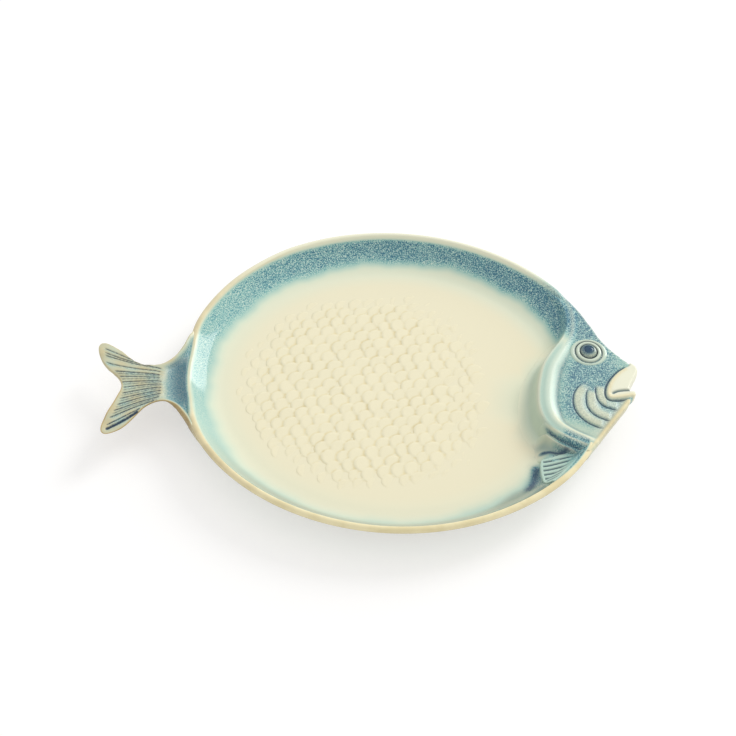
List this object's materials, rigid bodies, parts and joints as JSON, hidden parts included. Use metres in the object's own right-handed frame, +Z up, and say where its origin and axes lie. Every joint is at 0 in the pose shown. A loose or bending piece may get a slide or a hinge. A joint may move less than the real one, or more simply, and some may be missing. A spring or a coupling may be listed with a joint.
{
  "type": "fish-shaped serving plate",
  "caption": "Round glazed stoneware serving plate in the shape of a fish, with a tail and a head in relief at the rim, scales on the floor and a foot ring to stand on.",
  "frame": {"origin": "on the table plane under the foot ring, below the middle of the whole fish's box; the middle of the round dish lies 16 mm towards +X", "axes": "+Z up from the table, +X towards the fish's mouth, -X towards its tail, +Y towards its back"},
  "size_m": [0.35, 0.28, 0.028],
  "materials": {
    "dish_glaze": "gloss",
    "cream_glaze": "gloss",
    "blue_glaze": "gloss",
    "pale_glaze": "gloss",
    "tan_glaze": "gloss",
    "dark_glaze": "gloss",
    "bare_clay": "matte"
  },
  "bodies": {
    "root": {"foot_ring": "bare_clay", "dish": "dish_glaze", "scale_field": "cream_glaze", "tail_fin": "blue_glaze", "tail_ridge": "pale_glaze", "head": "blue_glaze", "chin_edge": "tan_glaze", "throat": "blue_glaze", "gill_cover": "pale_glaze", "gill_flap": "pale_glaze", "breast_fin": "blue_glaze", "cheek_fold_outer": "pale_glaze", "cheek_fold_middle": "pale_glaze", "cheek_fold_inner": "pale_glaze", "upper_lip": "pale_glaze", "lower_lip": "pale_glaze", "eye_socket": "blue_glaze", "eye_ring": "pale_glaze", "eye_ball": "pale_glaze", "eye_pupil": "dark_glaze"}
  },
  "joints": []
}
